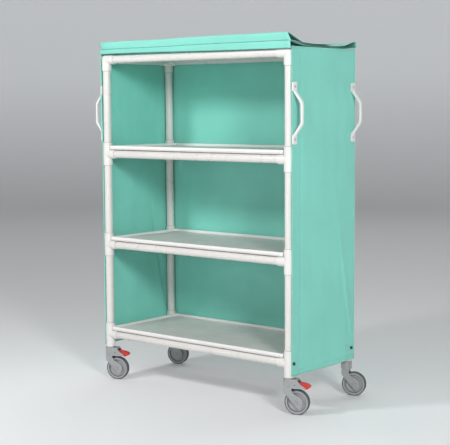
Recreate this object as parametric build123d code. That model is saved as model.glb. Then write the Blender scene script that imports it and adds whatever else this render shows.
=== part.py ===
from build123d import *
import os

# A linen trolley: a push-fit frame of white PVC pipe on four swivel casters, three tray shelves,
# a fabric cover on the left, right, back and top with its front flap folded up on the roof, and
# four pull handles.  Millimetres, +Z up, +X to the object's right, -Y to its open front.
# The origin is on the floor, at the centre of the four posts.

# ---- frame
POST_SPACING_X = 1240.0          # post axis to post axis, along the shelves
POST_SPACING_Y = 500.0           # post axis to post axis, front to back
PIPE_R = 21.1
PIPE_BORE_R = 17.5
PIPE_FIT_GAP = 0.05              # radial gap between a pipe and its socket
FITTING_R = 25.4
SOCKET_REACH = 62.0              # from a fitting's centre to the mouth of its socket
SOCKET_STOP = 30.0               # from a fitting's centre to the pipe's end in the socket
MOUTH_CHAMFER = 1.0
CORNER_SWELL = 0.6               # how far a corner's ball stands out past its sockets
LEVELS = {"bottom": 254.0, "middle": 755.0, "upper": 1254.0, "top": 1767.0}
POST_FOOT_Z = 184.0              # lower mouth of the bottom fittings

# ---- shelves
SHELF_END_GAP = 1.6              # between a shelf's end and the fittings' vertical sockets
SHELF_OVERHANG = 20.0            # past the front and rear rail axes
SHELF_PLATE = 6.0
SHELF_RIM_HEIGHT = 20.0
SHELF_RIM_WIDTH = 8.0
SHELF_CORNER_R = 14.0

# ---- fabric cover
COVER_GAP = 0.8                  # between the fittings and the cover
COVER_THICKNESS = 2.5
COVER_BOTTOM_Z = 193.0
COVER_FRONT_LAP = 15.0           # how far the side panels pass the front posts' axes
FLAP_END_OVERHANG = 4.0          # past the side panels
FLAP_FRONT_LAP = 36.0            # past the front posts' axes
FLAP_FRONT_HEIGHT = 72.0
FLAP_REAR_HEIGHT = 40.0
FLAP_FLAT_HEIGHT = 14.0

# ---- pull handles
HANDLE_CENTRE_Z = 1476.0
HANDLE_HALF_LENGTH = 150.0
HANDLE_PAD_LENGTH = 46.0
HANDLE_PAD_WIDTH = 30.0
HANDLE_PAD_THICKNESS = 8.0
HANDLE_GRIP_HALF_LENGTH = 49.0
HANDLE_STANDOFF = 56.0           # from the pad's back to the grip's outer face
HANDLE_BAR_THICKNESS = 11.5
HANDLE_BAR_WIDTH = 14.5
HANDLE_BAR_EDGE_R = 3.0
HANDLE_BEND_R = 24.0
SCREW_R = 2.4
SCREW_HEAD_R = 5.0
SCREW_HEAD_THICKNESS = 2.6
SCREW_LENGTH = 26.0
SCREW_HOLE_R = 2.5

# ---- cover fasteners
FASTENER_R = 8.0
FASTENER_THICKNESS = 5.0
FASTENER_SHANK = 10.0

# ---- casters
TRAIL = 42.0                     # wheel axle behind the swivel axis
TRAIL_TURN = 22.0                # degrees from +X towards +Y, at rest
WHEEL_R = 62.5
TYRE_WIDTH = 30.0
RIM_R = 57.0
RIM_WIDTH = 28.0
WEB_R = 49.0
WEB_WIDTH = 12.0
HUB_R = 17.0
HUB_WIDTH = 35.0
AXLE_R = 6.0
AXLE_RUNNING_GAP = 0.05
AXLE_HEAD_R = 8.0
AXLE_HEAD_THICKNESS = 1.8
FORK_WIDTH = 50.0
FORK_CLEAR_WIDTH = 37.0
FORK_POCKET_R = 68.0
FORK_HEAD_R = 28.0
FORK_HEAD_TOP_Z = 181.0
FORK_HEAD_BOTTOM_Z = 142.0
LEG_DISC_R = 33.0
LEG_TIP = (51.7, 31.0)           # where the leg's straight back edge meets the disc
LEG_BACK_BEND = (-21.0, 111.0)   # where that edge leaves the upright column
LEG_FRONT = 17.0                 # the column's other edge, beside the wheel
HOOD_BOTTOM_Z = 132.5
STEM_R = 6.0
STEM_RUNNING_GAP = 0.05
STEM_NUT_R = 9.0
STEM_NUT_THICKNESS = 5.0
STEM_SEAT_Z = 143.0              # face that the stem's lower nut holds the fork head by
INSERT_FLANGE_R = 25.0
INSERT_FLANGE_THICKNESS = 2.4
INSERT_TOP_Z = 232.0

# ---- brake pedals, in the caster's own frame: x back along the trail, z up
PEDAL_PIVOT = (34.0, 150.0)
PEDAL_WIDTH = 34.0
PEDAL_TOE_WIDTH = 40.0
PEDAL_TOE_START = 60.0           # from the pivot
PEDAL_PIN_R = 3.0
PEDAL_BARREL_R = 8.0

HALF_X = POST_SPACING_X / 2
HALF_Y = POST_SPACING_Y / 2
COVER_INNER = FITTING_R + COVER_GAP
COVER_OUTER = COVER_INNER + COVER_THICKNESS
COVER_TOP_Z = LEVELS["top"] + COVER_OUTER
CORNERS = {"fl": (-1, -1), "fr": (1, -1), "rl": (-1, 1), "rr": (1, 1)}
BRAKED = ("fl", "fr")
UP, DOWN = Vector(0, 0, 1), Vector(0, 0, -1)
ACROSS, ALONG = Vector(1, 0, 0), Vector(0, 1, 0)
QUARTER = 90


def rod(start, direction, length, radius):
    """A solid cylinder from a point, along a direction."""
    return extrude(Plane(origin=start, z_dir=direction) * Circle(radius), length)


def pipe(start, direction, length):
    """A straight length of the frame's pipe."""
    return rod(start, direction, length, PIPE_R) - rod(start, direction, length, PIPE_BORE_R)


def socket_shell(centre, direction, reach):
    """The outside of one socket, with its mouth's edge broken."""
    shell = rod(centre, direction, reach, FITTING_R)
    mouth = centre + direction * reach
    rim = shell.edges().filter_by(GeomType.CIRCLE).sort_by_distance(mouth)[0]
    return chamfer(rim, MOUTH_CHAMFER)


def fitting(above, below):
    """A moulded corner or tee about the origin, with sockets along +X, +Y, +Z and -Z.
    above and below are the reaches of the two upright ones, and above is 0 on a corner."""
    low = DOWN * below
    body = rod(low, UP, below + above, FITTING_R)
    hollow = rod(low, UP, below + above, PIPE_BORE_R)
    if not above:
        body += Sphere(FITTING_R + CORNER_SWELL)
        hollow += Sphere(PIPE_BORE_R + CORNER_SWELL)
    mouths = body.edges().filter_by(GeomType.CIRCLE)
    body = chamfer(mouths.filter_by_position(Axis.Z, low.Z - 1, low.Z + 1), MOUTH_CHAMFER)
    sockets = [ACROSS, ALONG] + [UP] * (above > 0) + [DOWN] * (below == SOCKET_REACH)
    for direction in (ACROSS, ALONG):
        body += socket_shell(Vector(0, 0, 0), direction, SOCKET_REACH)
        hollow += rod(Vector(0, 0, 0), direction, SOCKET_REACH, PIPE_BORE_R)
    body -= hollow
    for direction in sockets:
        body -= rod(direction * SOCKET_STOP, direction, SOCKET_REACH - SOCKET_STOP,
                    PIPE_R + PIPE_FIT_GAP)
    return body


def fastener_holes(side, y, z, radius):
    """A hole across one side of the trolley, for a screw or fastener shank."""
    inner = Vector(side * (HALF_X + PIPE_BORE_R - 6), y, z)
    return rod(inner, Vector(side, 0, 0), 60, radius)


def handle_screw_heights():
    offset = HANDLE_HALF_LENGTH - HANDLE_PAD_LENGTH / 2
    return [HANDLE_CENTRE_Z - offset, HANDLE_CENTRE_Z + offset]


def fittings(level):
    """The four corner fittings of one level: one moulding, turned by quarters."""
    z = LEVELS[level]
    above = 0 if level == "top" else SOCKET_REACH
    below = z - POST_FOOT_Z if level == "bottom" else SOCKET_REACH
    moulding = fitting(above, below)
    group = []
    for turn, corner in enumerate(("fl", "fr", "rr", "rl")):
        sx, sy = CORNERS[corner]
        one = Location((sx * HALF_X, sy * HALF_Y, z), (0, 0, QUARTER * turn)) * moulding
        if level == "bottom":
            one -= fastener_holes(sx, sy * HALF_Y, z, SCREW_HOLE_R)
        group.append(one)
    return Compound(children=group)


def post(corner):
    """The three pipes of one post, from the bottom fitting to the top one."""
    sx, sy = CORNERS[corner]
    heights = list(LEVELS.values())
    pieces = []
    for low, high in zip(heights, heights[1:]):
        start = Vector(sx * HALF_X, sy * HALF_Y, low + SOCKET_STOP)
        pieces.append(pipe(start, UP, high - low - 2 * SOCKET_STOP))
    for z in handle_screw_heights():
        pieces[-1] -= fastener_holes(sx, sy * HALF_Y, z, SCREW_HOLE_R)
    return Compound(children=pieces)


def long_rail(sy, z):
    start = Vector(-HALF_X + SOCKET_STOP, sy * HALF_Y, z)
    return pipe(start, Vector(1, 0, 0), POST_SPACING_X - 2 * SOCKET_STOP)


def side_rails(z):
    length = POST_SPACING_Y - 2 * SOCKET_STOP
    pair = []
    for sx in (-1, 1):
        pair.append(pipe(Vector(sx * HALF_X, -HALF_Y + SOCKET_STOP, z), Vector(0, 1, 0), length))
    return Compound(children=pair)


def shelf(z):
    """A flat tray with a raised rim, resting on the front and rear sockets of its level."""
    length = POST_SPACING_X - 2 * (FITTING_R + SHELF_END_GAP)
    depth = POST_SPACING_Y + 2 * SHELF_OVERHANG
    seat = z + FITTING_R
    outer = Plane.XY.offset(seat) * RectangleRounded(length, depth, SHELF_CORNER_R)
    inner = Plane.XY.offset(seat + SHELF_PLATE) * RectangleRounded(
        length - 2 * SHELF_RIM_WIDTH, depth - 2 * SHELF_RIM_WIDTH, SHELF_CORNER_R - SHELF_RIM_WIDTH)
    tray = extrude(outer, SHELF_RIM_HEIGHT) - extrude(inner, SHELF_RIM_HEIGHT)
    top_edges = tray.edges().filter_by_position(Axis.Z, seat + SHELF_RIM_HEIGHT - 0.01,
                                                seat + SHELF_RIM_HEIGHT + 0.01)
    return fillet(top_edges, 2.5)


def block(low, high):
    """A box between two opposite corners."""
    size = Vector(*high) - Vector(*low)
    middle = (Vector(*high) + Vector(*low)) * 0.5
    return Location(middle) * Box(size.X, size.Y, size.Z)


def cover_side(sx):
    inner_x = sx * (HALF_X + COVER_INNER)
    outer_x = sx * (HALF_X + COVER_OUTER)
    panel = block((min(inner_x, outer_x), -HALF_Y - COVER_FRONT_LAP, COVER_BOTTOM_Z),
                  (max(inner_x, outer_x), HALF_Y + COVER_OUTER, COVER_TOP_Z))
    for sy in (-1, 1):
        for z in handle_screw_heights() + [LEVELS["bottom"]]:
            panel -= fastener_holes(sx, sy * HALF_Y, z, SCREW_HOLE_R)
    return panel


def cover_back():
    half = HALF_X + COVER_INNER
    return block((-half, HALF_Y + COVER_INNER, COVER_BOTTOM_Z),
                 (half, HALF_Y + COVER_OUTER, COVER_TOP_Z))


def cover_top():
    half = HALF_X + COVER_INNER
    return block((-half, -HALF_Y - FITTING_R, COVER_TOP_Z - COVER_THICKNESS),
                 (half, HALF_Y + COVER_INNER, COVER_TOP_Z))


def cover_flap():
    """The front flap as it lies on the roof: high at its front folds, flat, and a rear fold."""
    base = COVER_TOP_Z + 0.3
    front = -HALF_Y - FLAP_FRONT_LAP
    rear = HALF_Y + COVER_INNER - 6
    top = [(front + 14, base + FLAP_FRONT_HEIGHT),
           (front + 60, base + 0.62 * FLAP_FRONT_HEIGHT),
           (front + 120, base + FLAP_FLAT_HEIGHT + 6),
           (0, base + FLAP_FLAT_HEIGHT),
           (rear - 130, base + FLAP_FLAT_HEIGHT + 4),
           (rear - 50, base + 0.85 * FLAP_REAR_HEIGHT),
           (rear - 12, base + FLAP_REAR_HEIGHT)]
    edges = [ThreePointArc((front + 8, base), (front, base + 0.5 * FLAP_FRONT_HEIGHT), top[0]),
             Spline(*top),
             ThreePointArc(top[-1], (rear, base + 0.5 * FLAP_REAR_HEIGHT), (rear - 8, base)),
             Line((rear - 8, base), (front + 8, base))]
    half = HALF_X + COVER_OUTER + FLAP_END_OVERHANG
    outline = Plane(origin=(-half, 0, 0), x_dir=(0, 1, 0), z_dir=(1, 0, 0)) * make_face(Wire(edges))
    return extrude(outline, 2 * half)


def handle(corner):
    """An arched pull: two pads on the cover, two slanted legs and a straight grip."""
    sx, sy = CORNERS[corner]
    pad_end = HANDLE_HALF_LENGTH - HANDLE_PAD_LENGTH
    outer = HANDLE_STANDOFF
    inner = HANDLE_STANDOFF - HANDLE_BAR_THICKNESS
    arch = [(0, pad_end + 12), (HANDLE_PAD_THICKNESS, pad_end + 10),
            (outer, HANDLE_GRIP_HALF_LENGTH + 3), (outer, -HANDLE_GRIP_HALF_LENGTH - 3),
            (HANDLE_PAD_THICKNESS, -pad_end - 10), (0, -pad_end - 12),
            (0, -pad_end + 2), (inner, -HANDLE_GRIP_HALF_LENGTH + 3),
            (inner, HANDLE_GRIP_HALF_LENGTH - 3), (0, pad_end - 2)]
    plane = Plane(origin=(0, 0, 0), x_dir=(1, 0, 0), z_dir=(0, -1, 0))
    bar = extrude(plane * make_face(Polyline(*arch, close=True)), HANDLE_BAR_WIDTH / 2, both=True)
    bends = bar.edges().filter_by(Axis.Y).filter_by_position(Axis.X, inner - 1, outer + 1)
    bar = fillet(bends, HANDLE_BEND_R)
    body = fillet(bar.faces().filter_by(Axis.Y).edges(), HANDLE_BAR_EDGE_R)
    for sign in (-1, 1):
        centre = sign * (HANDLE_HALF_LENGTH - HANDLE_PAD_LENGTH / 2)
        pad = Location((HANDLE_PAD_THICKNESS / 2, 0, centre)) * Box(
            HANDLE_PAD_THICKNESS, HANDLE_PAD_WIDTH, HANDLE_PAD_LENGTH)
        body += fillet(pad.edges().filter_by(Axis.X), 6)
    for z in (-1, 1):
        centre = z * (HANDLE_HALF_LENGTH - HANDLE_PAD_LENGTH / 2)
        body -= rod(Vector(-1, 0, centre), Vector(1, 0, 0), 60, SCREW_HOLE_R)
        body -= rod(Vector(HANDLE_PAD_THICKNESS, 0, centre), Vector(1, 0, 0), 60, SCREW_HEAD_R + 1)
    if sx < 0:
        body = mirror(body, Plane.YZ)
    return Location((sx * (HALF_X + COVER_OUTER), sy * HALF_Y, HANDLE_CENTRE_Z)) * body


def headed_pin(side, y, z, head_r, head_thickness, face, length, shank_r):
    """A fastener across a side: its head starts at face, and its shank runs inwards."""
    seat = Vector(side * face, y, z)
    head = rod(seat, Vector(side, 0, 0), head_thickness, head_r)
    return head + rod(seat, Vector(-side, 0, 0), length, shank_r)


def handle_screws():
    group = []
    face = HALF_X + COVER_OUTER + HANDLE_PAD_THICKNESS
    for sx, sy in CORNERS.values():
        for z in handle_screw_heights():
            group.append(headed_pin(sx, sy * HALF_Y, z, SCREW_HEAD_R, SCREW_HEAD_THICKNESS,
                                    face, SCREW_LENGTH, SCREW_R))
    return Compound(children=group)


def cover_fasteners():
    group = []
    for sx, sy in CORNERS.values():
        group.append(headed_pin(sx, sy * HALF_Y, LEVELS["bottom"], FASTENER_R, FASTENER_THICKNESS,
                                HALF_X + COVER_OUTER, FASTENER_SHANK, SCREW_R))
    return Compound(children=group)


def caster_stems():
    """The plug in each post's foot, with the stem that the fork turns on."""
    group = []
    for sx, sy in CORNERS.values():
        foot = Vector(sx * HALF_X, sy * HALF_Y, POST_FOOT_Z)
        nut_z = STEM_SEAT_Z - 0.2 - STEM_NUT_THICKNESS
        stem = rod(foot, UP, INSERT_TOP_Z - POST_FOOT_Z, PIPE_BORE_R - 0.1)
        stem += rod(foot, DOWN, INSERT_FLANGE_THICKNESS, INSERT_FLANGE_R)
        stem += rod(foot, DOWN, POST_FOOT_Z - nut_z, STEM_R)
        stem += rod(Vector(foot.X, foot.Y, nut_z), UP, STEM_NUT_THICKNESS, STEM_NUT_R)
        group.append(stem)
    return Compound(children=group)


def at_caster(corner, shape):
    """Moves a shape from the caster's own frame to its corner, turned to the rest heading."""
    sx, sy = CORNERS[corner]
    return Location((sx * HALF_X, sy * HALF_Y, 0), (0, 0, TRAIL_TURN)) * shape


def side_plate(face, width):
    """A side view in the caster's x-z plane, as thick as width across the wheel."""
    upright = Plane(origin=(0, 0, 0), x_dir=(1, 0, 0), z_dir=(0, -1, 0))
    return extrude(upright * face, width / 2, both=True)


def across(x, z, length, radius):
    """A cylinder along the axle's direction, centred on the caster's middle plane."""
    return rod(Vector(x, -length / 2, z), Vector(0, 1, 0), length, radius)


def leg_face():
    """Side view of a leg: an upright column, then an arm that ends in a disc about the axle.
    The arm's back edge is straight, and cuts the disc to a point."""
    bend_x, bend_z = LEG_BACK_BEND
    arm = FilletPolyline((bend_x, 170), LEG_BACK_BEND, LEG_TIP, (58, 91), (30, 105),
                         (LEG_FRONT, 124), (LEG_FRONT, 140), (24, 170),
                         radius=[0.5, 30, 2, 4, 10, 12, 20, 0.5], close=True)
    behind = Polyline(LEG_BACK_BEND, LEG_TIP, (LEG_TIP[0], 0), (bend_x, 0), close=True)
    disc = Location((TRAIL, WHEEL_R)) * Circle(LEG_DISC_R) - make_face(behind)
    return make_face(arm) + disc


def fork(corner):
    """A round swivel head over two broad legs, with a hood for the pedal on a braked caster."""
    body = side_plate(leg_face(), FORK_WIDTH)
    if corner in BRAKED:
        hood = FilletPolyline((0, HOOD_BOTTOM_Z), (0, 178), (43, 178), (60, 156), (87, 141),
                              (87, HOOD_BOTTOM_Z), radius=[1, 1, 5, 10, 4, 1], close=True)
        body += side_plate(make_face(hood), FORK_WIDTH)
    head = rod(Vector(0, 0, FORK_HEAD_BOTTOM_Z), UP,
               FORK_HEAD_TOP_Z - FORK_HEAD_BOTTOM_Z, FORK_HEAD_R)
    top = head.edges().filter_by(GeomType.CIRCLE).sort_by(Axis.Z)[-1]
    body += fillet(top, 4)
    body -= across(TRAIL, WHEEL_R, FORK_CLEAR_WIDTH, FORK_POCKET_R)
    body -= block((-40, -FORK_CLEAR_WIDTH / 2, 0), (130, FORK_CLEAR_WIDTH / 2, WHEEL_R))
    body -= across(TRAIL, WHEEL_R, FORK_WIDTH, AXLE_R + AXLE_RUNNING_GAP)
    body -= rod(Vector(0, 0, 90), UP, 100, STEM_R + STEM_RUNNING_GAP)
    body -= rod(Vector(0, 0, 90), UP, STEM_SEAT_Z - 90, STEM_NUT_R + 2)
    if corner in BRAKED:
        px, pz = PEDAL_PIVOT
        body -= block((px - 11, -FORK_CLEAR_WIDTH / 2, 110), (100, FORK_CLEAR_WIDTH / 2, 172))
        body -= across(px, pz, FORK_WIDTH, PEDAL_PIN_R + AXLE_RUNNING_GAP)
    return at_caster(corner, body)


def axle(corner):
    """A plain pin through both legs, with a low head on each side."""
    body = across(TRAIL, WHEEL_R, FORK_WIDTH + 1, AXLE_R)
    for side in (-1, 1):
        body += rod(Vector(TRAIL, side * (FORK_WIDTH / 2 + 0.1), WHEEL_R),
                    Vector(0, side, 0), AXLE_HEAD_THICKNESS, AXLE_HEAD_R)
    return at_caster(corner, body)


def wheel(corner):
    """The wheel's moulded centre: hub, thin web and rim."""
    rim = across(TRAIL, WHEEL_R, RIM_WIDTH, RIM_R) - across(TRAIL, WHEEL_R, RIM_WIDTH, WEB_R)
    body = rim + across(TRAIL, WHEEL_R, WEB_WIDTH, WEB_R + 1)
    body += across(TRAIL, WHEEL_R, HUB_WIDTH, HUB_R)
    body -= across(TRAIL, WHEEL_R, HUB_WIDTH, AXLE_R + AXLE_RUNNING_GAP)
    return at_caster(corner, body)


def tyre(corner):
    """The soft tread, with rounded shoulders."""
    ring = across(TRAIL, WHEEL_R, TYRE_WIDTH, WHEEL_R)
    ring = fillet(ring.edges().filter_by(GeomType.CIRCLE), 4)
    return at_caster(corner, ring - across(TRAIL, WHEEL_R, TYRE_WIDTH, RIM_R + 0.05))


def pedal(corner):
    """The brake pedal: a barrel on the fork's pin holes, a shoe over the wheel and a wide toe."""
    px, pz = PEDAL_PIVOT
    arm = Polyline((px, pz + PEDAL_BARREL_R), (px + 24, pz + 12), (px + 54, pz + 7),
                   (px + 69, pz), (px + 75, pz - 7), (px + 73, pz - 12), (px + 58, pz - 19),
                   (px + 36, pz - 16), (px + 18, pz - 16), (px + 16, pz - 21.8),
                   (px + 8, pz - 21), (px + 2, pz - 6), close=True)
    shape = make_face(arm)
    body = side_plate(shape, PEDAL_WIDTH)
    body += across(px, pz, PEDAL_WIDTH, PEDAL_BARREL_R)
    body += across(px, pz, FORK_WIDTH, PEDAL_PIN_R)
    body += side_plate(shape, PEDAL_TOE_WIDTH) & block(
        (px + PEDAL_TOE_START, -PEDAL_TOE_WIDTH, 0), (px + 100, PEDAL_TOE_WIDTH, 200))
    return at_caster(corner, body)


def main():
    os.makedirs("parts", exist_ok=True)
    nodes = {}
    for corner in CORNERS:
        nodes["post_" + corner] = post(corner)
        nodes["handle_" + corner] = handle(corner)
        nodes["fork_" + corner] = fork(corner)
        nodes["axle_" + corner] = axle(corner)
        nodes["wheel_" + corner] = wheel(corner)
        nodes["tyre_" + corner] = tyre(corner)
    for corner in BRAKED:
        nodes["pedal_" + corner] = pedal(corner)
    for level, z in LEVELS.items():
        nodes["fittings_" + level] = fittings(level)
        nodes["rail_front_" + level] = long_rail(-1, z)
        nodes["rail_rear_" + level] = long_rail(1, z)
        nodes["side_rails_" + level] = side_rails(z)
        if level != "top":
            nodes["shelf_" + level] = shelf(z)
    nodes["cover_left"] = cover_side(-1)
    nodes["cover_right"] = cover_side(1)
    nodes["cover_back"] = cover_back()
    nodes["cover_top"] = cover_top()
    nodes["cover_flap"] = cover_flap()
    nodes["handle_screws"] = handle_screws()
    nodes["cover_fasteners"] = cover_fasteners()
    nodes["caster_stems"] = caster_stems()
    for name, shape in nodes.items():
        export_step(shape, "parts/" + name + ".step")


main()
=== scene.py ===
import math

import bpy
import numpy as np
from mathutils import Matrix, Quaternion, Vector, noise


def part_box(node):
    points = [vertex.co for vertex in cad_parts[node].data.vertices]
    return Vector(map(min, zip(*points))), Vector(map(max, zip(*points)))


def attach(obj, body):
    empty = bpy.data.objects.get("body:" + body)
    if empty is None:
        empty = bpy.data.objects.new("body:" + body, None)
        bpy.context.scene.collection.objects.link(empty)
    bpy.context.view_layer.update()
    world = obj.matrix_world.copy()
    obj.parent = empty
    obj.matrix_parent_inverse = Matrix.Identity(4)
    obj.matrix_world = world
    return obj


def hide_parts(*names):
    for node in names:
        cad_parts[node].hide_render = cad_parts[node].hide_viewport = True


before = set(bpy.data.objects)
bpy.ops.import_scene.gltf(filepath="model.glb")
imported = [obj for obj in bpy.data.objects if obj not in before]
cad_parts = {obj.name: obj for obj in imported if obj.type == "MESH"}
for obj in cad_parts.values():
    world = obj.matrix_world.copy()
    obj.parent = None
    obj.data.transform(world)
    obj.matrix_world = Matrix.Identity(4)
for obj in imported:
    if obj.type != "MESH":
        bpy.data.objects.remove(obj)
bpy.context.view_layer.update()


# ---- places, some read from the frame and the rest given

def middle(node):
    low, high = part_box(node)
    return (low + high) / 2


POSTS = {corner: middle("post_" + corner) for corner in ("fl", "fr", "rl", "rr")}
SIDE_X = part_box("cover_right")[1].x           # outer face of the right side of the cover
BACK_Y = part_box("cover_back")[1].y            # outer face of the back of the cover
ROOF_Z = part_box("cover_top")[1].z             # upper face of the roof
FRONT_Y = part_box("cover_right")[0].y          # front edge of the side panels
HEM_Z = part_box("cover_right")[0].z            # lower edge of the cover
ROOF_FRONT_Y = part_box("cover_top")[0].y
FASTENER_Z = middle("cover_fasteners").z
HANDLE_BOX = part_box("handle_fr")
PAD_CENTRE = 0.023                            # from a handle's end to its pad's middle
PAD_HEIGHTS = (HANDLE_BOX[0].z + PAD_CENTRE, HANDLE_BOX[1].z - PAD_CENTRE)
LEVELS = ("bottom", "middle", "upper", "top")
SHELVES = [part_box("shelf_" + level) for level in LEVELS[:3]]
SOCKET_REACH = 0.062                          # from a post's axis to a socket's mouth
TRAIL_TURN = math.radians(22)                 # the way that a caster trails at rest, from +X
TRAIL_WAY = (math.cos(TRAIL_TURN), math.sin(TRAIL_TURN), 0)
PEDAL_RED_FROM = 0.050                        # from the post's axis, the way the caster trails

CAMERA_PLACE = (4.081, -4.874, 1.518)
CAMERA_TURN, CAMERA_DROP, CAMERA_ROLL = (math.radians(angle) for angle in (39.9, 5.63, -0.32))
CAMERA_LENS = 95.5                            # in mm, over a film 36 mm wide

FLOOR_R = 11.0
FLOOR_SIDES = 96
FLOOR_BEND_R = 3.0
FLOOR_BEND_STEPS = 12
FLOOR_WALL_Z = 4.5

CLOTH_THICKNESS = 0.0009
HEM_THICKNESS = 0.0011
FACING = 0.062                                # the doubled front edge of a side panel
HEM = 0.028
HEM_COLUMNS = 6
SEAM_INSET = 0.004                            # from a turned edge to its stitching
CORNER_SEAM = 0.009                           # from a rear corner to the stitching beside it
ROOF_SEAM = 0.010                             # from the roof's edge to the stitching under it
WELT_GAP = 0.001                              # left by a sheet for the welt that it ends in
STITCH_PITCH = 0.0055
STITCH_LENGTH = 0.0036
STITCH_WIDTH = 0.0007
FASTENER_RAYS = 5                             # pulls in the cloth round each fastener
REAR_FOLD_Z = 0.297                           # where the slanting fold of a side panel starts
REAR_FOLD_SLANT = 0.21
WELT_R = 0.0026                               # along the roof's edges
CORNER_WELT_R = 0.0022                        # down the rear corners


# ---- camera, floor and light

def make_camera():
    """The photo's own view, solved from the edges of the posts and rails."""
    data = bpy.data.cameras.new("camera")
    data.sensor_width = 36
    data.lens = CAMERA_LENS
    camera = bpy.data.objects.new("camera", data)
    bpy.context.collection.objects.link(camera)
    ahead = way_down(CAMERA_TURN, CAMERA_DROP)
    camera.location = CAMERA_PLACE
    camera.rotation_mode = "QUATERNION"
    camera.rotation_quaternion = (ahead.to_track_quat("-Z", "Y")
                                  @ Quaternion((0, 0, 1), CAMERA_ROLL))
    bpy.context.scene.camera = camera


def way_down(turn, height):
    """The way back from a point seen that far round, from -Y towards +X, and that far up."""
    return Vector((-math.sin(turn) * math.cos(height), math.cos(turn) * math.cos(height),
                   -math.sin(height)))


def aim(light, way):
    """Turns a light so that it shines along a way, and puts it in the scene."""
    light.rotation_mode = "QUATERNION"
    light.rotation_quaternion = Vector(way).to_track_quat("-Z", "Y")
    bpy.context.collection.objects.link(light)


def sun_light(name, turn, height, softness, energy):
    """A broad soft light from far away; its turn, height and softness are in degrees."""
    data = bpy.data.lights.new(name, "SUN")
    data.angle = math.radians(softness)
    data.energy = energy
    aim(bpy.data.objects.new(name, data), way_down(math.radians(turn), math.radians(height)))


def panel_light(name, place, target, size, energy):
    """A round soft box that the camera doesn't see."""
    data = bpy.data.lights.new(name, "AREA")
    data.shape = "DISK"
    data.size = size
    data.energy = energy
    light = bpy.data.objects.new(name, data)
    light.location = place
    light.visible_camera = False
    aim(light, Vector(target) - Vector(place))


def make_floor():
    """A round pale floor whose far edge curves up into a low wall, the same from every side."""
    rim = [(0.0, 0.0), (FLOOR_R, 0.0)]
    for step in range(1, FLOOR_BEND_STEPS + 1):
        angle = math.radians(90 * step / FLOOR_BEND_STEPS)
        rim.append((FLOOR_R + FLOOR_BEND_R * math.sin(angle),
                    FLOOR_BEND_R * (1 - math.cos(angle))))
    rim.append((rim[-1][0], FLOOR_WALL_Z))
    sides = FLOOR_SIDES
    turns = [2 * math.pi * k / sides for k in range(sides)]
    vertices = [(0, 0, 0)] + [(r * math.cos(a), r * math.sin(a), z) for r, z in rim[1:]
                              for a in turns]
    faces = [(0, 1 + k, 1 + (k + 1) % sides) for k in range(sides)]
    for ring in range(len(rim) - 2):
        low, high = 1 + ring * sides, 1 + (ring + 1) * sides
        faces += [(low + k, high + k, high + (k + 1) % sides, low + (k + 1) % sides)
                  for k in range(sides)]
    mesh = bpy.data.meshes.new("floor")
    mesh.from_pydata(vertices, [], faces)
    mesh.shade_smooth()
    floor = bpy.data.objects.new("floor", mesh)
    bpy.context.collection.objects.link(floor)
    look = Look("floor", (0.80, 0.81, 0.82), 0.75, Emission_Color=(0.95, 0.98, 1, 1))
    # painted glow: the floor emits light, from 0.07 at the ground to 0.24 from 2 m up its wall,
    # which brightens the backdrop and also lights the trolley
    glow = look.remap(look.along("Z"), 0, 2.0, 0.07, 0.24)
    look.links.new(glow, look.shader.inputs["Emission Strength"])
    mesh.materials.append(look.material)


def make_studio():
    """The lights as the photo's shading shows them, a dim world and the floor."""
    panel_light("right", (4.7, -3.1, 2.8), (0.2, 0, 1.5), 1.1, 174)
    panel_light("front", (-1.2, -2.9, 2.9), (0, 0, 1.2), 0.6, 57)
    panel_light("low", (0.8, -4.2, 1.2), (0, 0, 0.9), 1.6, 18)
    sun_light("top", 20, 66, 40, 0.18)
    sun_light("left", -108, 28, 50, 0.60)
    sun_light("back", 190, 32, 50, 0.80)
    world = bpy.data.worlds.new("studio")
    world.use_nodes = True
    background = world.node_tree.nodes["Background"]
    background.inputs["Color"].default_value = (0.80, 0.82, 0.84, 1)
    background.inputs["Strength"].default_value = 0.09
    bpy.context.scene.world = world
    bpy.context.scene.view_settings.view_transform = "Standard"
    make_floor()


# ---- materials

MINT = (0.215, 0.65, 0.545)
MINT_WORN = (0.42, 0.78, 0.68)
THREAD = (0.34, 0.72, 0.62)
# The grime colours tint dirt and scuffs; scaled down, those of the pipes, forks and wheels also
# give painted shade at socket mouths and in crevices.
PIPE_WHITE, PIPE_GRIME_AND_SHADE = (0.70, 0.675, 0.65), (0.55, 0.53, 0.50)
FITTING_WHITE = (0.735, 0.715, 0.69)
HANDLE_WHITE, HANDLE_GRIME = (0.75, 0.74, 0.725), (0.62, 0.61, 0.58)
FORK_GREY, FORK_GRIME_AND_SHADE = (0.32, 0.33, 0.335), (0.22, 0.22, 0.21)
WHEEL_GREY, WHEEL_GRIME_AND_SHADE = (0.36, 0.37, 0.375), (0.27, 0.27, 0.26)
FASTENER_BLACK, FASTENER_GRIME = (0.025, 0.03, 0.03), (0.08, 0.08, 0.08)
PEDAL_RED, PEDAL_GRIME = (0.62, 0.03, 0.02), (0.32, 0.03, 0.03)
PEDAL_INNER = (0.06, 0.065, 0.07)

WAVE_SCALE_PER_BAND = 0.314                   # the wave texture's scale for one band per metre
THREADS_PER_METRE = 900
HEM_STEP = 0.001                              # how wide the step at a doubled edge looks
GROOVE_REACH = 0.0022                         # how far a seam's groove, with its painted shade, and its puckers go from it
PUCKER_REACH = 0.014
FOLD_REACH = 0.07                             # how near the next layer of a fold shades a face
FOLD_SHADE = 0.33
CREVICE_REACH = 0.018                         # the same between a fork and its wheel
CREVICE_SHADE = 0.18


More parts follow.
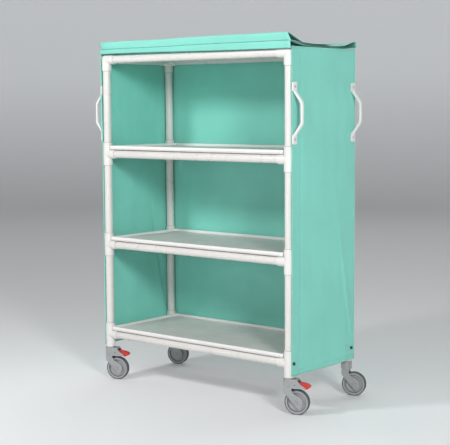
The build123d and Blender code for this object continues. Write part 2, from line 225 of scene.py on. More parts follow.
class Look:
    """A procedural material: a Principled shader, and short calls that add nodes to it."""

    def __init__(self, name, colour, roughness, **sockets):
        self.material = bpy.data.materials.new(name)
        self.material.use_nodes = True
        self.nodes = self.material.node_tree.nodes
        self.links = self.material.node_tree.links
        self.shader = self.nodes["Principled BSDF"]
        self.shader.inputs["Base Color"].default_value = (*colour, 1)
        self.shader.inputs["Roughness"].default_value = roughness
        for socket, value in sockets.items():
            self.shader.inputs[socket.replace("_", " ")].default_value = value
        self.normal = None

    def add(self, kind, **settings):
        node = self.nodes.new(kind)
        for key, value in settings.items():
            setattr(node, key, value)
        return node

    def place(self, space="Object", stretch=(1, 1, 1)):
        coordinates = self.add("ShaderNodeTexCoord")
        mapping = self.add("ShaderNodeMapping")
        mapping.inputs["Scale"].default_value = stretch
        self.links.new(coordinates.outputs[space], mapping.inputs["Vector"])
        return mapping.outputs["Vector"]

    def noise(self, scale, detail=3, roughness=0.5, space="Object", stretch=(1, 1, 1)):
        node = self.add("ShaderNodeTexNoise")
        node.inputs["Scale"].default_value = scale
        node.inputs["Detail"].default_value = detail
        node.inputs["Roughness"].default_value = roughness
        self.links.new(self.place(space, stretch), node.inputs["Vector"])
        return node.outputs["Fac"]

    def cells(self, scale):
        node = self.add("ShaderNodeTexVoronoi", feature="SMOOTH_F1")
        node.inputs["Scale"].default_value = scale
        self.links.new(self.place(), node.inputs["Vector"])
        return node.outputs["Distance"]

    def threads(self, per_metre, direction):
        """The crests of threads that lie side by side on the flat cloth, a little uneven."""
        node = self.add("ShaderNodeTexWave", wave_type="BANDS", bands_direction=direction)
        node.inputs["Scale"].default_value = per_metre * WAVE_SCALE_PER_BAND
        node.inputs["Distortion"].default_value = 0.6
        node.inputs["Detail Scale"].default_value = 2.0
        self.links.new(self.place("UV"), node.inputs["Vector"])
        return node.outputs["Fac"]

    def remap(self, value, low, high, to_low=0.0, to_high=1.0):
        node = self.add("ShaderNodeMapRange")
        for socket, number in zip(("From Min", "From Max", "To Min", "To Max"),
                                  (low, high, to_low, to_high)):
            node.inputs[socket].default_value = number
        self.links.new(value, node.inputs["Value"])
        return node.outputs["Result"]

    def calc(self, first, second, operation):
        """A sum on two values, each a number or another node's output."""
        node = self.add("ShaderNodeMath", operation=operation)
        for socket, value in zip(node.inputs, (first, second)):
            if isinstance(value, (int, float)):
                socket.default_value = value
            else:
                self.links.new(value, socket)
        return node.outputs["Value"]

    def mix(self, factor, first, second):
        """A blend from the first colour, where the factor is 0, to the second, where it is 1."""
        node = self.add("ShaderNodeMix", data_type="RGBA")
        self.links.new(factor, node.inputs["Factor"])
        for socket, value in zip((node.inputs[6], node.inputs[7]), (first, second)):
            if isinstance(value, tuple):
                socket.default_value = (*value, 1)
            else:
                self.links.new(value, socket)
        return node.outputs[2]

    def along(self, axis, space="Object"):
        """One coordinate in metres, of the object or, with UV, of the flat cloth."""
        split = self.add("ShaderNodeSeparateXYZ")
        self.links.new(self.place(space), split.inputs["Vector"])
        return split.outputs[axis]

    def away(self, coordinate, place):
        """How far a coordinate is from a place on its axis, either way."""
        return self.calc(self.calc(coordinate, place, "SUBTRACT"), 0, "ABSOLUTE")

    def near(self, axis, places):
        """Strong within a thin ring about each place along an axis, and 0 outside it."""
        coordinate = self.along(axis)
        nearest = self.away(coordinate, places[0])
        for place in places[1:]:
            nearest = self.calc(nearest, self.away(coordinate, place), "MINIMUM")
        return self.remap(nearest, 0.0008, 0.0026, 0.85, 0)

    def enclosed(self, reach, alone=False):
        """From 0 in a crevice to 1 where nothing else stands within reach of the face. A piece
        that turns beside others is read alone, so that nothing of them is left on it."""
        node = self.add("ShaderNodeAmbientOcclusion", samples=8, only_local=alone)
        node.inputs["Distance"].default_value = reach
        return node.outputs["AO"]

    def colour(self, value):
        self.links.new(value, self.shader.inputs["Base Color"])

    def rough(self, value):
        self.links.new(value, self.shader.inputs["Roughness"])

    def bump(self, height, distance, strength=1.0):
        """Adds a relief to the ones that the material already has."""
        node = self.add("ShaderNodeBump")
        node.inputs["Distance"].default_value = distance
        node.inputs["Strength"].default_value = strength
        self.links.new(height, node.inputs["Height"])
        if self.normal is not None:
            self.links.new(self.normal, node.inputs["Normal"])
        self.normal = node.outputs["Normal"]
        self.links.new(self.normal, self.shader.inputs["Normal"])


def scaled(colour, factor):
    return tuple(min(1.0, channel * factor) for channel in colour)


def cloth_look(name, colour, worn, seams=(), hem=None, folds=0.0):
    """Coated nylon: a fine plain weave, slow shade changes, a pale rub where it is marked worn.
    seams are lines on the flat cloth, each an axis and a place in metres, where the stitching
    pulls a groove, which is given painted shade, and small puckers. hem is the line that bounds
    the doubled front edge: an axis, a place, and 1 or -1 for the side of it that is doubled.
    folds is how far, in metres, a face looks for another one; near one, the face is painted
    darker as painted shade."""
    look = Look(name, colour, 0.46, Sheen_Weight=0.25, Sheen_Roughness=0.4)
    weave = look.calc(look.threads(THREADS_PER_METRE, "X"), look.threads(THREADS_PER_METRE, "Y"),
                      "MULTIPLY")
    slow = look.remap(look.noise(3.5, 3), 0.3, 0.7)
    tone = look.mix(slow, scaled(colour, 0.95), scaled(colour, 1.05))
    woven = look.mix(look.remap(weave, 0, 1, 0, 0.22), tone, scaled(colour, 0.78))
    flecks = look.remap(look.noise(220, 2), 0.62, 0.75, 0, 0.12)
    flecked = look.mix(flecks, woven, worn)
    mark = look.add("ShaderNodeAttribute", attribute_name="worn")
    rub = look.calc(mark.outputs["Fac"], look.remap(look.noise(30, 4), 0.35, 0.7), "MULTIPLY")
    finish = look.mix(look.remap(rub, 0, 1, 0, 0.35), flecked, worn)
    look.bump(look.noise(18, 3), 0.002, 0.25)
    if hem:
        axis, place, side = hem
        step = HEM_STEP / 2 * side
        doubled = look.remap(look.along(axis, "UV"), place - step, place + step)
        finish = look.mix(look.calc(doubled, 0.10, "MULTIPLY"), finish, scaled(colour, 0.6))
        look.bump(doubled, 0.0007, 0.6)
    for axis, place in seams:
        away = look.away(look.along(axis, "UV"), place)
        groove = look.remap(away, 0.0002, GROOVE_REACH)
        # painted shade: the cloth is painted up to 35% towards a darker mint in each seam's groove
        finish = look.mix(look.remap(groove, 0, 1, 0.35, 0), finish, scaled(colour, 0.55))
        stretch = (60, 9, 1) if axis == "Y" else (9, 60, 1)
        pucker = look.noise(1.6, 2, 0.5, "UV", stretch)
        near = look.remap(away, 0.001, PUCKER_REACH, 1, 0)
        look.bump(look.calc(pucker, near, "MULTIPLY"), 0.0030, 0.55)
        look.bump(groove, 0.0006, 0.8)
    if folds:
        # painted shade: a face with other cloth within reach is painted darker, down to FOLD_SHADE
        # of its colour, for the shade inside the folds
        open_face = look.remap(look.enclosed(folds), 0.15, 0.75)
        finish = look.mix(open_face, scaled(colour, FOLD_SHADE), finish)
    look.colour(finish)
    look.rough(look.remap(look.noise(12, 3), 0.3, 0.7, 0.40, 0.54))
    look.bump(weave, 0.0004, 0.5)
    return look.material


def plastic_look(name, colour, roughness, grime_and_shade, grain=0.15, grain_scale=420, joints=None,
                 crevice=0.0, alone=False, hidden=None):
    """Moulded plastic: a fine skin, slow mottling, faint drawn scuffs and patches of dirt.

    joints: an axis, and the places along it where a pipe goes into a socket; a thin ring of
    painted shadow darkens the pipe beside each.
    crevice: how near, in metres, another face has to be for painted shade to darken this one.
    alone: whether only the piece's own faces count for that.
    hidden: a colour for the piece's inner part, a place where it ends, and the way out of it."""
    look = Look(name, colour, roughness)
    slow = look.remap(look.noise(7, 4), 0.3, 0.7)
    mottled = look.mix(slow, scaled(colour, 0.97), scaled(colour, 1.02))
    drawn_along = joints[0] if joints else "Z"
    drawn = [0.06 if axis == drawn_along else 1 for axis in "XYZ"]
    scuffs = look.remap(look.noise(60, 5, 0.65, stretch=drawn), 0.6, 0.78, 0, 0.06)
    scuffed = look.mix(scuffs, mottled, grime_and_shade)
    dirt = look.remap(look.noise(24, 6, 0.7), 0.62, 0.85, 0, 0.10)
    finish = look.mix(dirt, scuffed, grime_and_shade)
    if joints:
        # painted shadow: a thin dark ring on the pipe at each socket mouth, for the shadow in the
        # gap there
        finish = look.mix(look.near(*joints), finish, scaled(grime_and_shade, 0.35))
    if crevice:
        # painted shade: faces with another face within reach are painted darker, towards
        # CREVICE_SHADE of the grime colour
        open_face = look.remap(look.enclosed(crevice, alone), 0.40, 0.85)
        finish = look.mix(open_face, scaled(grime_and_shade, CREVICE_SHADE), finish)
    if hidden:
        inner, place, way = hidden
        ahead = look.add("ShaderNodeVectorMath", operation="DOT_PRODUCT")
        look.links.new(look.place(), ahead.inputs[0])
        ahead.inputs[1].default_value = way
        start = Vector(way).dot(place)
        outer = look.remap(ahead.outputs["Value"], start, start + 0.0004)
        finish = look.mix(outer, inner, finish)
    look.colour(finish)
    look.rough(look.remap(look.noise(20, 4), 0.3, 0.7, roughness * 0.92, roughness * 1.15))
    look.bump(look.noise(grain_scale, 2), 0.0003, grain)
    return look.material


def shelf_look(box):
    """The tray: a grey pebbled deck inside a smoother white rim, with fine wipe marks."""
    look = Look("shelf_plastic", (0.6, 0.61, 0.61), 0.38)
    rim = look.remap(look.along("Z"), box[0].z + 0.0075, box[0].z + 0.0085)
    pebble = look.cells(420)
    slow = look.remap(look.noise(5, 4), 0.3, 0.7)
    deck = look.mix(slow, (0.62, 0.59, 0.58), (0.72, 0.68, 0.67))
    wiped = look.mix(look.remap(look.noise(20, 5, 0.7, stretch=(0.08, 1, 1)), 0.55, 0.75, 0, 0.35),
                     deck, (0.52, 0.51, 0.50))
    # partly painted light: the rim is painted paler than the deck, and the deck's greyer tone
    # stands in part for the shade that falls into the tray
    look.colour(look.mix(rim, wiped, (0.80, 0.80, 0.78)))
    look.rough(look.remap(look.noise(26, 4), 0.3, 0.7, 0.32, 0.46))
    look.bump(pebble, 0.0006, 0.25)
    return look.material


def steel_look(name):
    """Zinc-plated steel: a faint spangle and uneven polish."""
    look = Look(name, (0.62, 0.62, 0.63), 0.35, Metallic=1.0)
    spangle = look.remap(look.noise(160, 4), 0.35, 0.65)
    look.colour(look.mix(spangle, (0.52, 0.53, 0.55), (0.70, 0.70, 0.70)))
    look.rough(look.remap(look.noise(90, 5), 0.3, 0.7, 0.28, 0.46))
    look.bump(look.noise(300, 3, stretch=(1, 1, 0.2)), 0.0003, 0.3)
    return look.material


def rubber_look(name):
    """The wheels' soft tread, with pale dust in it."""
    look = Look(name, (0.09, 0.10, 0.105), 0.6)
    dust = look.remap(look.noise(50, 5, 0.7), 0.45, 0.7, 0, 0.55)
    look.colour(look.mix(dust, (0.075, 0.085, 0.09), (0.20, 0.20, 0.19)))
    look.rough(look.remap(look.noise(80, 3), 0.3, 0.7, 0.5, 0.75))
    look.bump(look.noise(260, 4), 0.0006, 0.5)
    return look.material


def paint(prefixes, material):
    """Gives every CAD node whose name starts with one of the prefixes its finished material."""
    for name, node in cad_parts.items():
        if name.startswith(prefixes):
            node.data.materials.clear()
            node.data.materials.append(material)


def socket_mouths(axis):
    """Where the pipes along an axis come out of their fittings."""
    index = "XYZ".index(axis)
    if axis == "Z":
        boxes = [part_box("fittings_" + level) for level in LEVELS]
        return [low.z for low, high in boxes[1:]] + [high.z for low, high in boxes[:-1]]
    inner = POSTS["fr"][index] - math.copysign(SOCKET_REACH, POSTS["fr"][index])
    return [inner, -inner]


def paint_frame():
    """Gives the CAD pieces that stay visible their finished materials."""
    # each pipe gets a ring of painted shadow where it comes out of a fitting
    for axis, prefixes in (("Z", ("post_",)), ("X", ("rail_",)), ("Y", ("side_rails_",))):
        paint(prefixes,
              plastic_look("pvc_pipe_" + axis.lower(), PIPE_WHITE, 0.28, PIPE_GRIME_AND_SHADE, 0.03,
                           joints=(axis, socket_mouths(axis))))
    paint(("fittings_",),
          plastic_look("pvc_fitting", FITTING_WHITE, 0.34, PIPE_GRIME_AND_SHADE, 0.06, 300))
    paint(("handle_",),
          plastic_look("handle_white", HANDLE_WHITE, 0.3, HANDLE_GRIME, 0.1, 500))
    # the caster's fork, axle and wheel get painted shade in their crevices; the wheel's comes only
    # from its own faces
    paint(("fork_", "axle_"),
          plastic_look("caster_grey", FORK_GREY, 0.42, FORK_GRIME_AND_SHADE, 0.5, 350,
                       crevice=CREVICE_REACH))
    paint(("wheel_",),
          plastic_look("wheel_grey", WHEEL_GREY, 0.4, WHEEL_GRIME_AND_SHADE, 0.4, 350,
                       crevice=CREVICE_REACH, alone=True))
    paint(("tyre_",), rubber_look("tread_grey"))
    for corner in ("fl", "fr"):
        axis_foot = Vector((POSTS[corner].x, POSTS[corner].y, 0))
        toe_from = axis_foot + PEDAL_RED_FROM * Vector(TRAIL_WAY)
        paint(("pedal_" + corner,),
              plastic_look("pedal_" + corner + "_red", PEDAL_RED, 0.33, PEDAL_GRIME, 0.4, 400,
                           hidden=(PEDAL_INNER, toe_from, TRAIL_WAY)))
    paint(("handle_screws", "caster_stems"), steel_look("zinc_steel"))
    paint(("cover_fasteners",),
          plastic_look("fastener_black", FASTENER_BLACK, 0.4, FASTENER_GRIME, 0.4, 400))
    for level, box in zip(LEVELS, SHELVES):
        paint(("shelf_" + level,), shelf_look(box))


# ---- cloth

def wave(seed, *at):
    """Smooth noise from -1 to 1 at a point."""
    x, y, z = (list(at) + [0, 0])[:3]
    return noise.noise(Vector((x + seed * 13.7, y + seed * 5.1, z - seed * 7.9)))


def ease(value, low, high):
    """A smooth step from 0, up to low, to 1, from high on."""
    t = min(1.0, max(0.0, (value - low) / (high - low)))
    return t * t * (3 - 2 * t)


class Sheet:
    """A grid of cloth points over a flat cut of width by length metres."""

    def __init__(self, width, length, columns, rows, place):
        self.width, self.length = width, length
        self.columns, self.rows = columns, rows
        self.points = np.array([[place(i / columns, j / rows) for i in range(columns + 1)]
                                for j in range(rows + 1)])

    def at(self, u, v):
        """The point at a share u of the width and v of the length, and the cloth's normal."""
        i = min(self.columns - 1e-6, max(0.0, u * self.columns))
        j = min(self.rows - 1e-6, max(0.0, v * self.rows))
        a, b = int(i), int(j)
        s, t = i - a, j - b
        low = self.points[b, a] * (1 - s) + self.points[b, a + 1] * s
        high = self.points[b + 1, a] * (1 - s) + self.points[b + 1, a + 1] * s
        across = self.points[b, a + 1] - self.points[b, a]
        along = self.points[b + 1, a] - self.points[b, a]
        normal = np.cross(across, along)
        return low * (1 - t) + high * t, normal / np.linalg.norm(normal)

    def build(self, name, material, worn_edge=0.02, thickness=CLOTH_THICKNESS):
        """The sheet as a piece on the frame, with its flat cut as UV in metres."""
        count = self.columns + 1
        vertices = self.points.reshape(-1, 3)
        faces = [(j * count + i, j * count + i + 1, (j + 1) * count + i + 1, (j + 1) * count + i)
                 for j in range(self.rows) for i in range(self.columns)]
        mesh = bpy.data.meshes.new(name)
        mesh.from_pydata(vertices.tolist(), [], faces)
        layer = mesh.uv_layers.new(name="metres")
        mark = mesh.attributes.new("worn", "FLOAT", "POINT")
        flat = [(i / self.columns * self.width, j / self.rows * self.length)
                for j in range(self.rows + 1) for i in range(count)]
        for corner in mesh.loops:
            layer.data[corner.index].uv = flat[corner.vertex_index]
        for index, (x, y) in enumerate(flat):
            nearest = min(x, self.width - x, y, self.length - y)
            mark.data[index].value = 1 - ease(nearest, 0, worn_edge)
        mesh.shade_smooth()
        mesh.materials.append(material)
        piece = bpy.data.objects.new(name, mesh)
        bpy.context.collection.objects.link(piece)
        solid = piece.modifiers.new("thickness", "SOLIDIFY")
        solid.thickness = thickness
        solid.offset = 0
        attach(piece, "frame")
        return piece


def lift(sheet, u, v, height):
    """A point that far off the sheet's middle, on the side that its normal faces."""
    point, normal = sheet.at(u, v)
    return point + normal * height


def band(name, sheet, corners, material, steps):
    """A turned hem: a strip of doubled cloth on the inside of the sheet, between two edges that
    are each given as the (u, v) at its ends."""
    height = -(CLOTH_THICKNESS / 2 + HEM_THICKNESS / 2)
    (a0, a1), (b0, b1) = corners

    def place(s, t):
        left = (a0[0] + (a1[0] - a0[0]) * t, a0[1] + (a1[1] - a0[1]) * t)
        right = (b0[0] + (b1[0] - b0[0]) * t, b0[1] + (b1[1] - b0[1]) * t)
        u = left[0] + (right[0] - left[0]) * s
        v = left[1] + (right[1] - left[1]) * s
        return lift(sheet, u, v, height)

    width = math.dist(place(0, 0.5), place(1, 0.5))
    length = math.dist(place(0.5, 0), place(0.5, 1))
    strip = Sheet(width, length, HEM_COLUMNS, steps, place)
    return strip.build(name, material, 0.004, HEM_THICKNESS)


def stitches(name, sheet, lines, material, height):
    """Rows of thread stitches on the sheet, each line from one (u, v) to another. A stitch is a
    closed three-sided prism in two parts, thickest where they meet. A negative height puts the
    stitches on the sheet's inner face."""
    vertices, faces = [], []
    half_width, rise = STITCH_WIDTH / 2, STITCH_WIDTH * 0.45
    outwards = math.copysign(1, height)
    for (u0, v0), (u1, v1) in lines:
        span = math.hypot((u1 - u0) * sheet.width, (v1 - v0) * sheet.length)
        count = max(1, int(span / STITCH_PITCH))
        share = STITCH_LENGTH / STITCH_PITCH
        for k in range(count):
            ends = []
            for part in (0, share / 2, share):
                t = (k + part) / count
                u, v = u0 + (u1 - u0) * t, v0 + (v1 - v0) * t
                ends.append(sheet.at(u, v))
            direction = ends[2][0] - ends[0][0]
            direction = direction / max(1e-9, np.linalg.norm(direction))
            first = len(vertices)
            for index, (point, normal) in enumerate(ends):
                side = np.cross(direction, normal)
                top = rise if index == 1 else rise * 0.3
                width = half_width if index == 1 else half_width * 0.55
                base = point + normal * height
                vertices += [base - side * width, base + normal * (top * outwards),
                             base + side * width]
            for a in (first, first + 3):
                b = a + 3
                faces += [(a, a + 1, b + 1, b), (a + 1, a + 2, b + 2, b + 1), (a + 2, a, b, b + 2)]
            faces += [(first + 2, first + 1, first), (first + 6, first + 7, first + 8)]
    if height < 0:
        faces = [face[::-1] for face in faces]
    mesh = bpy.data.meshes.new(name)
    mesh.from_pydata([tuple(p) for p in vertices], [], faces)
    mesh.shade_smooth()
    mesh.materials.append(material)
    piece = bpy.data.objects.new(name, mesh)
    bpy.context.collection.objects.link(piece)
    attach(piece, "frame")
    return piece


def fastener_rays(across, up, turn, depth, reach):
    """Small pulls that run out from a fastener, at a point that far across and up from it."""
    away = math.hypot(across, up)
    ray = math.sin(math.atan2(up, across) * FASTENER_RAYS + turn)
    return depth * ray * math.exp(-(away / reach) ** 2) * ease(away, 0.01, 0.04)


def side_swell(y, z, sign, seed):
    """How far a side panel stands out from flat at a height and a place along it."""
    front_y, rear_y = POSTS["fr"].y, POSTS["rr"].y
    drop = ease(ROOF_Z - z, 0.05, 0.6)
    between_posts = (ease(y, front_y, front_y + 0.09)
                     * ease(-y, -rear_y, -rear_y + 0.07))
    folds = 0.0028 * wave(seed, y * 11, z * 0.9) + 0.0010 * wave(seed + 1, y * 24, z * 1.7)
    loose = 0.0040 * wave(seed + 2, y * 4, z * 2.2)
    shape = between_posts * (0.0022 + (0.35 + 0.65 * drop) * (folds + loose))

    # the long slanting fold that ends at the rear fastener
    fold_y = BACK_Y - 0.026 - REAR_FOLD_SLANT * (z - REAR_FOLD_Z)
    rear_fold = math.exp(-((y - fold_y) / (0.010 if y < fold_y else 0.022)) ** 2)
    shape += 0.0060 * rear_fold * ease(z, 0.22, 0.36) * ease(-z, -1.05, -0.65)

    # the dents under the handles' pads and the pulls about them
    for pad in PAD_HEIGHTS:
        for post_y in (front_y, rear_y):
            away = math.hypot((y - post_y) / 0.9, z - pad)
            shape -= 0.0016 * math.exp(-(away / 0.05) ** 2)
            pull = math.exp(-(away / 0.16) ** 2) * math.sin(away * 75 + 1.0)
            shape += 0.0009 * pull * between_posts

    # a short crease beside the front handle
    along_crease = (z - (PAD_HEIGHTS[0] + PAD_HEIGHTS[1]) / 2) / 0.06
    crease_y = front_y + 0.100 - 0.030 * along_crease
    shape += 0.0035 * math.exp(-((y - crease_y) / 0.012) ** 2 - along_crease ** 2)

    for post_y, inwards in ((front_y, 1), (rear_y, -1)):
        shape += fastener_rays((y - post_y) * inwards, z - FASTENER_Z, seed, 0.0022, 0.10)

    flare = ease(-z, -FASTENER_Z - 0.01, -HEM_Z) * (0.004 + 0.003 * wave(seed + 3, y * 9))
    if sign < 0:      # the left panel's upper front corner hangs away from its post
        corner = ease(z, 1.15, 1.6) * (1 - ease(y, FRONT_Y, FRONT_Y + 0.14))
        shape += 0.0075 * corner * (0.4 + 0.6 * ease(ROOF_Z - z, 0, 0.05))
    return max(-0.0030, shape + flare * (0.4 + 0.6 * between_posts))


def side_panel(sign, seed, thread):
    """One side of the cover, from its front edge to the rear corner, hem to roof; sign is that
    of its x. Both are laid so that their normals face outwards, so the left one's width is counted
    from the rear corner."""
    name = "side_panel_left" if sign < 0 else "side_panel_right"
    width, length = BACK_Y - WELT_GAP - FRONT_Y, ROOF_Z - HEM_Z

    def share(from_front):
        return from_front if sign > 0 else 1 - from_front

    def metres(from_front):
        return from_front if sign > 0 else width - from_front

    def place(s, t):
        s = share(s)
        y = FRONT_Y + width * s
        z = HEM_Z + length * t
        hem_dip = 0.003 * wave(seed + 4, y * 5) * (1 - ease(t, 0, 0.03))
        edge_lean = 0.004 * wave(seed + 5, z * 2.2) * (1 - ease(s, 0, 0.08))
        x = SIDE_X - CLOTH_THICKNESS / 2 - HEM_THICKNESS + side_swell(y, z, sign, seed)
        return (sign * x, y + edge_lean, z + hem_dip)

    sheet = Sheet(width, length, round(width / 0.009), round(length / 0.013), place)
    seams = [("X", metres(FACING - SEAM_INSET)), ("X", metres(SEAM_INSET)),
             ("Y", HEM - SEAM_INSET), ("X", metres(width - CORNER_SEAM)),
             ("Y", length - ROOF_SEAM)]
    material = cloth_look(name + "_nylon", MINT, MINT_WORN, seams, ("X", metres(FACING), -sign))
    piece = sheet.build(name, material)
    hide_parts("cover_left" if sign < 0 else "cover_right")
    facing, bottom = FACING / width, HEM / length
    edge, fold = share(0.0), share(facing)
    parts = [band(name + "_front_hem", sheet, (((edge, 0), (edge, 1)), ((fold, 0), (fold, 1))),
                  material, 120),
             band(name + "_bottom_hem", sheet, (((0, 0), (1, 0)), ((0, bottom), (1, bottom))),
                  material, 60)]
    upright = [((u, 0.004), (u, 0.997)) for u in (share(facing - SEAM_INSET / width),
                                                  share(SEAM_INSET / width),
                                                  share(1 - CORNER_SEAM / width))]
    level = [((0.004, v), (0.996, v)) for v in (bottom - SEAM_INSET / length,
                                                1 - ROOF_SEAM / length)]
    lines = upright[:2] + level[:1] + upright[2:] + level[1:]
    parts.append(stitches(name + "_stitches", sheet, lines, thread, CLOTH_THICKNESS / 2))
    return sheet


def back_panel(seed, thread):
    """The back of the cover, between the two rear corners, hem to roof."""
    x0, x1 = -SIDE_X + WELT_GAP, SIDE_X - WELT_GAP
    width, length = x1 - x0, ROOF_Z - HEM_Z
    post_x = POSTS["rr"].x

    def place(s, t):
        x = x0 + width * s
        z = HEM_Z + length * t
        drop = ease(ROOF_Z - z, 0.05, 0.5)
        between_posts = ease(x, -post_x, -post_x + 0.12) * ease(-x, -post_x, -post_x + 0.12)
        folds = 0.0045 * wave(seed, x * 7, z * 0.8) + 0.0025 * wave(seed + 1, x * 17, z * 1.5)
        loose = 0.0045 * wave(seed + 2, x * 2.5, z * 2.0)
        shape = between_posts * (0.0025 + (0.3 + 0.7 * drop) * (folds + loose))
        for side in (-1, 1):
            shape += fastener_rays((x - side * post_x) * -side, z - FASTENER_Z, 0, 0.002, 0.12)
        flare = ease(-z, -FASTENER_Z - 0.01, -HEM_Z) * (0.004 + 0.004 * wave(seed + 3, x * 7))
        swell = max(-0.0028, shape + flare * between_posts)
        dip = 0.003 * wave(seed + 4, x * 4) * (1 - ease(t, 0, 0.03))
        return (-x, BACK_Y - CLOTH_THICKNESS / 2 - HEM_THICKNESS + swell, z + dip)

    sheet = Sheet(width, length, round(width / 0.012), round(length / 0.014), place)
    seams = [("Y", HEM - SEAM_INSET), ("X", CORNER_SEAM), ("X", width - CORNER_SEAM),
             ("Y", length - ROOF_SEAM)]
    material = cloth_look("back_panel_nylon", MINT, MINT_WORN, seams)
    piece = sheet.build("back_panel", material)
    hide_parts("cover_back")
    bottom = HEM / length
    parts = [band("back_panel_bottom_hem", sheet, (((0, 0), (1, 0)), ((0, bottom), (1, bottom))),
                  material, 110)]
    upright = [((u, 0.004), (u, 0.997)) for u in (CORNER_SEAM / width, 1 - CORNER_SEAM / width)]
    level = [((0.002, v), (0.998, v)) for v in (bottom - SEAM_INSET / length,
                                                1 - ROOF_SEAM / length)]
    lines = level[:1] + upright + level[1:]
    parts.append(stitches("back_panel_stitches", sheet, lines, thread, CLOTH_THICKNESS / 2))
    return sheet


def roof_panel(seed, material):
    """The top of the cover, slung between the top rails."""
    x0, x1 = -SIDE_X + WELT_GAP, SIDE_X - WELT_GAP
    y0, y1 = ROOF_FRONT_Y, BACK_Y - WELT_GAP
    width, length = x1 - x0, y1 - y0

    def place(s, t):
        x, y = x0 + width * s, y0 + length * t
        inside = ease(min(s, 1 - s) * width, 0.05, 0.35) * ease(min(t, 1 - t) * length, 0.05, 0.22)
        sag = 0.010 * inside + 0.002 * inside * wave(seed, x * 5, y * 5)
        return (x, y, ROOF_Z - CLOTH_THICKNESS - sag)

    sheet = Sheet(width, length, round(width / 0.02), round(length / 0.014), place)
    piece = sheet.build("roof_panel", material)
    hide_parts("cover_top")
    return sheet


def welt(name, points, radius, material):
    """The rounded, turned edge where two panels meet, along a line of points."""
    curve = bpy.data.curves.new(name, "CURVE")
    curve.dimensions = "3D"
    curve.bevel_depth = radius
    curve.bevel_resolution = 4
    curve.use_fill_caps = True
    spline = curve.splines.new("POLY")
    spline.points.add(len(points) - 1)
    for target, point in zip(spline.points, points):
        target.co = (*point, 1)
    curve.materials.append(material)
    piece = bpy.data.objects.new(name, curve)
    bpy.context.collection.objects.link(piece)
    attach(piece, "frame")
    return piece


def welts(sides, back, material):
    """The turned seams where the panels meet, along the roof's edges and the rear corners."""
    for sheet, name in ((sides[0], "left"), (sides[1], "right"), (back, "back")):
        line = [lift(sheet, k / 60, 0.9985, 0.0006) for k in range(61)]
        welt("welt_roof_" + name, line, WELT_R, material)
    for share, name in ((0.001, "right"), (0.999, "left")):
        line = [lift(back, share, k / 120, 0.0002) for k in range(121)]
        welt("welt_corner_" + name, line, CORNER_WELT_R, material)


def smooth_line(points, per_span):
    """A Catmull-Rom curve through points."""
    p = np.array([points[0]] + list(points) + [points[-1]], float)
    line = []
    for k in range(1, len(p) - 2):
        for step in range(per_span):
            t = step / per_span
            a, b, c, d = p[k - 1], p[k], p[k + 1], p[k + 2]
            line.append(0.5 * (2 * b + (c - a) * t + (2 * a - 5 * b + 4 * c - d) * t * t
                               + (3 * b - 3 * c + d - a) * t ** 3))
    line.append(p[-2])
    return np.array(line)


def flap_profile(lower, upper, hang, shifts):
    """One end of the folded flap, from its seam to its free edge: (y, height above the roof, x
    shift). lower and upper are the heights of the two front folds, hang is where the lowest one
    ends, and shifts are at the bottom, the lower fold's top, the crease and the flap's top."""
    f, r = ROOF_FRONT_Y, BACK_Y
    bottom, low, crease, high = shifts
    top = lower + upper
    seam = [(f + 0.014, 0.0010, bottom), (f + 0.001, 0.3 * hang, bottom),
            (f - 0.006, 0.75 * hang, bottom), (f - 0.011, hang, bottom),
            (f - 0.0145, hang + 0.0028, bottom)]
    lower_fold = [(f - 0.0160, 0.5 * (lower + hang), (bottom + low) / 2),
                  (f - 0.0165, lower - 0.0030, low), (f - 0.0145, lower - 0.0004, low),
                  (f - 0.0100, lower + 0.0002, low)]
    first_layer = [(f + 0.020, 0.80 * lower, low), (f + 0.060, 0.50 * lower, low),
                   (f + 0.095, 0.22 * lower + 0.001, low), (f + 0.125, 0.0040, low),
                   (f + 0.200, 0.0026, 0), (f + 0.300, 0.0034, 0), (0.080, 0.0028, 0),
                   (r - 0.120, 0.0032, 0), (r - 0.050, 0.0036, 0), (r - 0.014, 0.0050, 0)]
    rear_loop = [(r + 0.000, 0.0090, 0), (r + 0.002, 0.0150, 0), (r + 0.000, 0.0270, 0),
                 (r - 0.004, 0.0330, 0), (r - 0.014, 0.0362, 0), (r - 0.034, 0.0330, 0),
                 (r - 0.075, 0.0215, 0), (r - 0.110, 0.0120, 0)]
    second_layer = [(r - 0.150, 0.0090, 0), (0.060, 0.0080, 0), (f + 0.250, 0.0088, 0),
                    (f + 0.160, 0.0082, low), (f + 0.120, 0.0110, crease),
                    (f + 0.090, 0.22 * lower + 0.009, crease),
                    (f + 0.055, 0.50 * lower + 0.0075, crease),
                    (f + 0.015, 0.85 * lower + 0.0040, crease),
                    (f - 0.0100, lower + 0.0022, crease)]
    upper_fold = [(f - 0.0150, lower + 0.0040, crease),
                  (f - 0.0172, lower + 0.5 * upper, (crease + high) / 2),
                  (f - 0.0170, top - 0.0030, high), (f - 0.0150, top - 0.0004, high),
                  (f - 0.0105, top, high)]
    third_layer = [(f + 0.025, 0.78 * top, high), (f + 0.065, 0.53 * top, high),
                   (f + 0.100, 0.33 * top, high), (f + 0.130, 0.0180, high),
                   (f + 0.180, 0.0145, 0), (f + 0.270, 0.0150, 0), (0.060, 0.0140, 0),
                   (r - 0.180, 0.0150, 0), (r - 0.120, 0.0185, 0)]
    return seam + lower_fold + first_layer + rear_loop + second_layer + upper_fold + third_layer


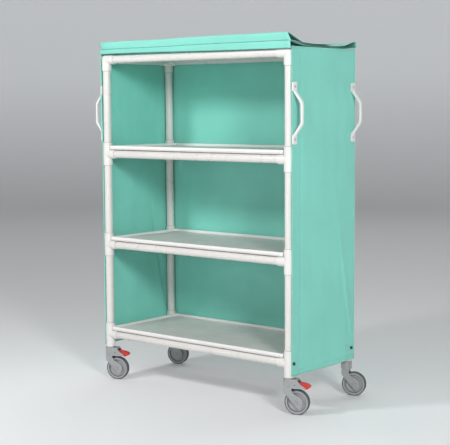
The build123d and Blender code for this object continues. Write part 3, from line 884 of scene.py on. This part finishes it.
def folded_flap(seed, thread):
    """The front flap, laid back over the roof in a zigzag. Each row of its grid runs from the left
    end's outline to the right end's, and ripples the more, the higher it stands."""
    left_x, right_x = -SIDE_X + 0.004, SIDE_X + 0.006
    left = smooth_line(flap_profile(0.022, 0.040, 0.0, (0.005, 0.014, 0.030, 0.018)), 5)
    right = smooth_line(flap_profile(0.024, 0.039, -0.011, (0.006, 0.006, 0.006, -0.009)), 5)
    steps = len(left) - 1
    length = float(np.linalg.norm(np.diff(right, axis=0), axis=1).sum())
    width = right_x - left_x

    def place(s, t):
        index = round(t * steps)
        to_right = ease(s, 0.0, 1.0)
        y, z, shift = left[index] * (1 - to_right) + right[index] * to_right
        x = left_x + width * s + shift
        near_end = 1 - ease(min(s, 1 - s), 0, 0.10)
        ripple = wave(seed, x * 3.1, y * 3) * (0.0010 + 0.05 * max(0, z))
        small = wave(seed + 1, x * 9, y * 8) * (0.0004 + 0.016 * max(0, z))
        lean = wave(seed + 2, x * 2.3, z * 25, y * 2) * 0.0030 * ease(z, 0.004, 0.02)
        stagger = 0.005 * wave(seed + 3, t * 9) * (1 if s > 0.5 else -1) * near_end
        rise = z + (ripple + small) * ease(z, 0, 0.012)
        return (x + stagger, y + lean, ROOF_Z + CLOTH_THICKNESS + rise)

    sheet = Sheet(width, length, round(width / 0.016), steps, place)
    seams = [("X", HEM), ("X", width - HEM), ("Y", length - HEM)]
    # the flap gets painted shade inside its folds
    material = cloth_look("front_flap_nylon", MINT, MINT_WORN, seams,
                          folds=FOLD_REACH)
    piece = sheet.build("front_flap", material)
    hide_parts("cover_flap")
    hem = HEM / width
    lines = [((hem, 0.01), (hem, 0.99)), ((1 - hem, 0.01), (1 - hem, 0.99)),
             ((0.01, 1 - HEM / length), (0.99, 1 - HEM / length))]
    for face in (1, -1):
        side = "outer" if face > 0 else "inner"
        stitches("front_flap_stitches_" + side, sheet, lines, thread,
                              face * CLOTH_THICKNESS / 2)
    return sheet


# ---- the scene; the numbers given to the sheets are the seeds of their folds

make_camera()
make_studio()
paint_frame()
welt_nylon = cloth_look("mint_nylon", MINT, MINT_WORN)
mint_thread = cloth_look("mint_thread", THREAD, MINT_WORN)
left_side = side_panel(-1, 3.0, mint_thread)
right_side = side_panel(1, 8.0, mint_thread)
back = back_panel(5.0, mint_thread)
# the roof gets painted shade where other cloth lies near it
roof_panel(2.0, cloth_look("roof_nylon", MINT, MINT_WORN, folds=FOLD_REACH))
welts((left_side, right_side), back, welt_nylon)
folded_flap(6.0, mint_thread)
